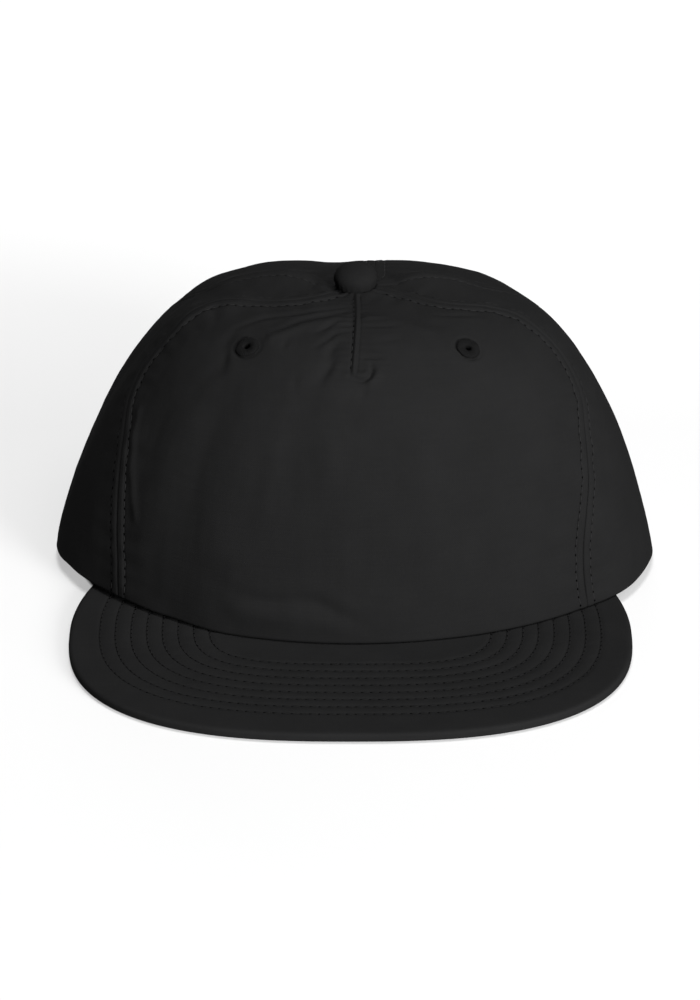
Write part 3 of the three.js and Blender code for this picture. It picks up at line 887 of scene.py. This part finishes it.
def peak_piece(finish):
    """The peak as one net, round its edge from tip to tip, and in under, round and over it."""
    share = np.linspace(-1, 1, 341)
    end = peak_reach(share)
    deepest, middle = [PEAK_DEEPEST], [PEAK_TOP / 2]
    under = np.concatenate([deepest, np.linspace(70, 2.4, 70)])
    over = np.concatenate([
        np.linspace(2.0, 8.8, 8), np.arange(9.5, 52.0, 0.55), np.linspace(53, PEAK_DEEPEST, 12),
    ])
    edge_depth, edge_height = zip(*PEAK_EDGE)
    runs = [
        (deepest, middle, 0), (under, np.zeros(len(under)), -1), (edge_depth, edge_height, 0),
        (over, np.full(len(over), PEAK_TOP), 1), (deepest, middle, 0),
    ]
    depth = np.concatenate([run for run, _, _ in runs])
    level = np.concatenate([heights for _, heights, _ in runs])
    face = np.concatenate([np.full(len(run), kind) for run, _, kind in runs])
    bm, column, row = grid(len(share) - 1, len(depth) - 1)
    deep = np.minimum(depth[row], end[column])
    plan = peak_point(share[column], deep)
    soft = peak_relief(plan, deep)
    above = np.where(face[row] > 0, soft, 0)
    below = np.where(face[row] < 0, np.minimum(soft, 0), 0)
    place(bm, np.column_stack([plan, level[row] + above - below]))
    bmesh.ops.remove_doubles(bm, verts=bm.verts, dist=0.00002)
    bmesh.ops.dissolve_degenerate(bm, dist=0.00001, edges=bm.edges)
    bmesh.ops.recalc_face_normals(bm, faces=bm.faces)
    return write_mesh(bm, "stitched_peak", finish)


def peak_stitches(finish):
    """The peak's rows, on its top and again on its underside."""
    bm = bmesh.new()
    bm.verts.layers.float.new("hole")
    share = np.linspace(-1, 1, 700)
    end = peak_reach(share)
    for depth in ROW_DEPTHS:
        kept = share[end > depth + 1]
        deep = np.full(len(kept), depth)
        plan = peak_point(kept, deep)
        lift = peak_relief(plan, deep)
        over = np.column_stack([plan, PEAK_TOP + lift + THREAD * 0.25])
        under = np.column_stack([plan, -lift - THREAD * 0.35])
        up = np.tile((0.0, 0.0, 1.0), (len(kept), 1))
        sewn(bm, over, up)
        sewn(bm, under, -up)
    return write_mesh(bm, "peak_stitching", finish)


def crown_stitches(finish):
    """Two rows beside every seam, one along the dart, one round the arch."""
    bm = bmesh.new()
    bm.verts.layers.float.new("hole")
    for name, track in SEAMS.items():
        for side in (-1, 1):
            row = track.aside(side * TOPSTITCH)
            start, sink = (1.5, 0.0) if "front" in name else (4.5, 0.12)
            sewn_track(bm, row, start, row.length - 9.0, sink)
    sewn_track(bm, DART.aside(DART_STITCHED), 4.0, DART.length - 3.4)
    edge = ARCH_TRACK.aside(-ARCH_TOPSTITCH)
    sewn_track(bm, edge, 1.5, edge.length - 1.5)
    return write_mesh(bm, "crown_stitching", finish)


# Sections as radius and height: the button's from below to its top, the eyelet's once round
BUTTON_SECTION = [
    (0.02, 0.6), (4.4, 0.4), (6.7, 0.35), (7.3, 0.75), (7.5, 1.6), (7.5, 2.7),
    (7.25, 3.8), (6.65, 4.8), (5.5, 5.75), (3.8, 6.4), (1.9, 6.72), (0.02, 6.8),
]
EYELET_SECTION = [
    (1.05, 0.0), (1.12, 0.32), (1.6, 0.6), (2.5, 0.72), (3.4, 0.6), (4.0, 0.3),
    (4.15, 0.0), (3.5, -0.12), (2.4, -0.15), (2.25, -0.7), (2.3, -1.4), (3.3, -1.5),
    (3.6, -1.8), (3.1, -2.15), (2.2, -2.2), (1.45, -1.9), (1.1, -1.2), (1.05, -0.6),
]
GATHERS = 19
EYELET_THREADS = 34


def spun(bm, section, closed, steps):
    """Turns a section once round the vertical axis."""
    verts = [bm.verts.new((float(x), 0, float(z))) for x, z in section]
    ends = verts[1:] + verts[:1] if closed else verts[1:]
    for a, b in zip(verts, ends):
        bm.edges.new((a, b))
    bmesh.ops.spin(bm, geom=bm.verts[:] + bm.edges[:], cent=(0, 0, 0), axis=(0, 0, 1),
                   angle=2 * math.pi, steps=steps, use_merge=True)


def covered_button(finish):
    """A domed button under gathered cloth."""
    bm = bmesh.new()
    t = np.linspace(0, 1, 34)
    section = np.array(BUTTON_SECTION)
    spun(bm, zip(spline(section[:, 0], t), spline(section[:, 1], t)), False, 96)
    bmesh.ops.remove_doubles(bm, verts=bm.verts, dist=0.05)
    bmesh.ops.recalc_face_normals(bm, faces=bm.faces)
    seat = Vector((0.3, BUTTON_Y, BUTTON_Z + 0.1))
    lean = Matrix.Rotation(math.radians(12), 3, "X")
    for vert in bm.verts:
        x, y, z = vert.co
        radius = math.hypot(x, y)
        turn = math.atan2(y, x)
        gather = 0.09 * math.sin(GATHERS * turn + 2 * math.sin(3 * turn))
        gather *= float(smooth(radius, 3.5, 6.6)) * float(1 - smooth(z, 1.2, 4.2))
        soft = 0.12 * noise.noise(Vector((x, y, z)) / 3.2)
        scale = 1 + (gather + soft) / max(radius, 2.0)
        vert.co = (lean @ Vector((x * scale, y * scale, z + 0.3 * soft)) + seat) * MM
    piece = write_mesh(bm, "covered_button", finish)
    corners = np.array([vert.co[:2] for vert in piece.data.vertices]) / MM
    cloth_map(piece, corners)
    return piece


def stitched_eyelet(name, spot, finish):
    """A sewn eyelet: threads laid side by side round a small hole, a bead on both faces."""
    bm = bmesh.new()
    spun(bm, EYELET_SECTION, True, EYELET_THREADS * 4)
    bmesh.ops.recalc_face_normals(bm, faces=bm.faces)
    points, normals = shaped([spot[0]], [spot[1]])
    centre, up = Vector(points[0]), Vector(normals[0])
    turn = up.to_track_quat("Z", "Y").to_matrix()
    for vert in bm.verts:
        x, y, z = vert.co
        radius, angle = math.hypot(x, y), math.atan2(y, x)
        slip = 0.25 * math.sin(5 * angle + spot[0]) + 0.18 * math.sin(11 * angle)
        ridge = 0.13 * math.sin(EYELET_THREADS * angle + slip) * float(smooth(radius, 1.3, 1.7))
        uneven = 0.1 * math.sin(3 * angle + spot[0]) + 0.08 * math.sin(7 * angle)
        scale = 1 + uneven * float(smooth(radius, 3.0, 3.8)) / radius
        lift = ridge if z > 0 else -ridge if z < -1.4 else 0
        vert.co = (centre + turn @ Vector((x * scale, y * scale, z + lift))) * MM
    return write_mesh(bm, name, finish)


# The wall's radius and its height along its section, for the weave of the bands
WALL_RADIUS = 95
WALL_RUN = 178
STRAP_RISES = (0.015, 0.122)
STRAP_RIBS = 11


def inner_band(name, turns, rises, depth, cells, thickness, finish, height=None):
    """A band along the inside of the crown's wall, its outer face at a depth in mm."""
    bm, column, row = grid(*cells)
    u, v = column / cells[0], row / cells[1]
    azimuth = turns[0] + (turns[1] - turns[0]) * u
    rise = rises[0] + (rises[1] - rises[0]) * v
    low = height(u, v) if height is not None else np.zeros(len(u))
    place(bm, crown(azimuth, rise) - outward(azimuth, rise) * (depth - low)[:, None])
    piece = write_mesh(bm, name, finish)
    length, width = np.radians(turns[1] - turns[0]) * WALL_RADIUS, (rises[1] - rises[0]) * WALL_RUN
    cloth_map(piece, np.column_stack([(u - 0.5) * length, (v - 0.5) * width]))
    return thicken(piece, thickness)


def webbing_relief(u, v):
    """Ribs along the strap and its turned selvedges."""
    selvedges = bell(v, 0.03) + bell(1 - v, 0.03)
    return 0.16 * np.abs(np.sin(v * np.pi * STRAP_RIBS)) - 0.2 * selvedges


# The slider's place, how far in its middle is, its half length, the width of its bars, its room
# round the strap, the power of its rounded box and its bevel
SLIDER_AZIMUTH = 169.0
SLIDER_INSET = 2.55
SLIDER_HALF = 4.5
SLIDER_BAR = 1.1
SLIDER_ROOM = 0.5
SLIDER_POWER = 9
SLIDER_BEVEL = 0.28
STRAP_HALF_THICK = 0.8


def strap_slider(finish):
    """A rounded frame that stands round the strap."""
    turn = np.array([SLIDER_AZIMUTH])
    low, high = (np.array([rise]) for rise in STRAP_RISES)
    middle = (low + high) / 2
    across, up = slopes(turn, middle)
    out = unit(np.cross(across, up))[0]
    span = np.linalg.norm(crown(turn, high)[0] - crown(turn, low)[0])
    along = unit(np.cross((0, 0, 1), out))
    rise = np.cross(along, out)
    seat = crown(turn, middle)[0] - out * SLIDER_INSET
    inside = np.array([STRAP_HALF_THICK, span / 2]) + SLIDER_ROOM
    bm = bmesh.new()
    rims = []
    for size in (inside + SLIDER_BAR, inside):
        ring = bmesh.ops.create_circle(bm, segments=48, radius=1)["verts"]
        for vert in ring:
            angle = math.atan2(vert.co.y, vert.co.x)
            box = np.array([math.cos(angle), math.sin(angle)])
            reach = np.sum(np.abs(box) ** SLIDER_POWER) ** (-1 / SLIDER_POWER)
            vert.co = (*(box * reach * size), 0)
        rims += [edge for vert in ring for edge in vert.link_edges]
    bmesh.ops.bridge_loops(bm, edges=list(set(rims)))
    made = bmesh.ops.extrude_face_region(bm, geom=bm.faces[:])
    moved = [item for item in made["geom"] if isinstance(item, bmesh.types.BMVert)]
    for vert in bm.verts:
        vert.co.z = -SLIDER_HALF
    for vert in moved:
        vert.co.z = SLIDER_HALF
    bmesh.ops.recalc_face_normals(bm, faces=bm.faces)
    sharp = [edge for edge in bm.edges if edge.is_manifold and edge.calc_face_angle() > 1.0]
    bmesh.ops.bevel(bm, geom=sharp, offset=SLIDER_BEVEL, offset_type="OFFSET", segments=3,
                    profile=0.5, affect="EDGES", material=-1)
    for vert in bm.verts:
        x, y, z = vert.co
        vert.co = Vector(seat + out * x - rise * y + along * z) * MM
    bmesh.ops.recalc_face_normals(bm, faces=bm.faces)
    return write_mesh(bm, "strap_frame", finish)


# The floor's own tone, and its glow, which is painted light that also lights the cap. Its glow
# stops at the cap, whose painted shadow is an oval in metres
FLOOR_TONE = 0.3
FLOOR_GLOW = 0.63
SHADOW_HALF = (0.099, 0.078)
SHADOW_Y = 0.0235
# Soft lights: the azimuth and elevation in degrees, and the power
LIGHTS = [
    ("key", 35, 14, 128), ("fill", 10, 12, 22), ("side", 60, 58, 14),
    ("overhead", 0, 90, 66), ("back", 182, 20, 20),
]
LIGHT_DISTANCE = 2.5
LIGHT_SIZE = 1.0
LIGHT_AIM = (0, 0, 0.05)


def aimed(name, data, where, at):
    """Puts a lamp or a camera somewhere and turns it to look at a point."""
    holder = bpy.data.objects.new(name, data)
    holder.location = where
    holder.rotation_mode = "QUATERNION"
    holder.rotation_quaternion = (Vector(at) - where).to_track_quat("-Z", "Y")
    bpy.context.scene.collection.objects.link(holder)
    return holder


def studio():
    """A pale floor that glows a little as painted light, soft lights and a dark room."""
    floor = bmesh.new()
    bmesh.ops.create_grid(floor, x_segments=1, y_segments=1, size=6)
    paper = Finish("pale_floor", Roughness=0.9, Specular_IOR_Level=0.0,
                   Emission_Strength=FLOOR_GLOW)
    at = paper.coordinates("Object")
    x, y, _ = paper.split(at)
    # Painted light and shade in the glow: none in the shadow oval under the cap, cut to 0.55
    # beyond about 0.2 m to the left so that less of it reaches the cap's left side, and weaker
    # near and in front than far behind.
    u, v = x / SHADOW_HALF[0], (y - SHADOW_Y) / SHADOW_HALF[1]
    outside = ((u * u + v * v) * 40.0 - 39.0).most(0.0).least(1.0)
    glow_cut_left = (x * 6.0 + 2.2).most(0.55).least(1.0)
    behind = (y * 3.0 - 0.4).most(0.0).least(1.0)
    glow = outside * glow_cut_left * (behind * 0.3 + 0.7)
    paper.feed(paper.shader, {
        "Base Color": paper.blend(paper.noise(at, 3.0), grey(FLOOR_TONE * 0.99), grey(FLOOR_TONE)),
        "Emission Color": paper.blend(glow, grey(0.0), grey(1.0)),
    })
    piece = write_mesh(floor, "floor", paper.material, False)
    piece.location.z = -0.0005
    for name, azimuth, elevation, power in LIGHTS:
        lamp = bpy.data.lights.new(name, "AREA")
        lamp.shape, lamp.size, lamp.energy = "DISK", LIGHT_SIZE, power
        turn, height = math.radians(azimuth), math.radians(elevation)
        level = math.cos(height)
        way = Vector((math.sin(turn) * level, -math.cos(turn) * level, math.sin(height)))
        aimed(name, lamp, LIGHT_DISTANCE * way, LIGHT_AIM)
    world = bpy.data.worlds.new("room")
    world.use_nodes = True
    world.node_tree.nodes["Background"].inputs["Strength"].default_value = 0.0
    bpy.context.scene.world = world
    bpy.context.scene.view_settings.view_transform = "Standard"


# The photo's camera: its lens in mm on a 36 mm frame, and where it looks from, in metres
CAMERA_LENS = 154.98
CAMERA_TILT = 25
CAMERA_DISTANCE = 1.5
CAMERA_AIM = (-0.0017, 0.0009, 0.0305)


def photograph_camera():
    """The camera that took the photo, as its fitted outline places it."""
    view = bpy.data.cameras.new("camera")
    view.lens, view.sensor_width = CAMERA_LENS, 36
    view.clip_start, view.clip_end = 0.05, 50
    tilt = math.radians(CAMERA_TILT)
    back = Vector((0, -math.cos(tilt), math.sin(tilt)))
    where = Vector(CAMERA_AIM) + back * CAMERA_DISTANCE
    bpy.context.scene.camera = aimed("camera", view, where, CAMERA_AIM)


photograph_camera()
studio()

crown_cloth = nylon("crown_nylon", "UV", 0.0079, 0.66)
button_cloth = nylon("button_nylon", "UV", 0.0072, 0.62)
# The peak's nylon is the crown's nylon made lighter: painted light on its upward face.
peak_cloth = nylon("peak_nylon", "Object", 0.0089, 0.7)
# One black thread in three tones: the seams' lighter than the cloth, painted light on their
# stitches; the peak's and the eyelets' darker, painted shade.
seam_thread = thread_finish("seam_thread", 0.0115, 0.5)
peak_thread = thread_finish("peak_thread", 0.0066, 0.7)
eyelet_thread = thread_finish("eyelet_thread", 0.0046, 0.7)
band_twill = twill("band_twill", 0.009, 0.85)
strap_weave = webbing("strap_weave", 0.0065, 0.75)
slider_plastic = moulded("slider_plastic", 0.005, 0.45)

front_shares = crowded(236, [(0, 0.035, 1.6), (1, 0.035, 1.6), (0.5, 0.035, 1.7)])
side_shares = crowded(96, [(0, 0.07, 1.3), (1, 0.07, 1.3)])
back_shares = crowded(90, [(0, 0.07, 1.0), (1, 0.05, 1.0)])

right_back = arched(back_shares, MIDDLE)
left_back = arched(back_shares, [360 - azimuth for azimuth in MIDDLE])
PANELS = [
    ("front_cloth", "front_panel", between(FRONT_LEFT, FRONT_RIGHT, front_shares), EYELETS),
    ("side_cloth_right", "side_panel_right", between(FRONT_RIGHT, BACK_RIGHT, side_shares), ()),
    ("side_cloth_left", "side_panel_left", between(BACK_LEFT, FRONT_LEFT, side_shares), ()),
    ("back_cloth_right", "back_panel_right", right_back, ()),
    ("back_cloth_left", "back_panel_left", (-left_back[0][:, ::-1], left_back[1][:, ::-1]), ()),
]
for name, node, (azimuth, rise), holes in PANELS:
    dress(cloth_panel(name, azimuth, rise, crown_cloth, holes), "crown_cloth", node)

dress(crown_stitches(seam_thread), "thread")
dress(covered_button(button_cloth), "crown_cloth", "button")
for side, spot in EYELET_SPOTS.items():
    dress(stitched_eyelet(f"sewn_eyelet_{side}", spot, eyelet_thread), "thread", f"eyelet_{side}")

dress(peak_piece(peak_cloth), "peak_cloth", "peak")
dress(peak_stitches(peak_thread), "thread")

sweatband = inner_band("sweatband_cloth", (-155.5, 155.5), (0.02, 0.185), 1.8, (300, 14), 1.0,
                       band_twill)
dress(sweatband, "band_cloth", "sweatband")
strap = inner_band("strap_webbing", (157, 203), STRAP_RISES, 1.75, (150, 66), 1.5, strap_weave,
                   webbing_relief)
dress(strap, "webbing", "strap")
dress(strap_slider(slider_plastic), "plastic", "strap_slider")
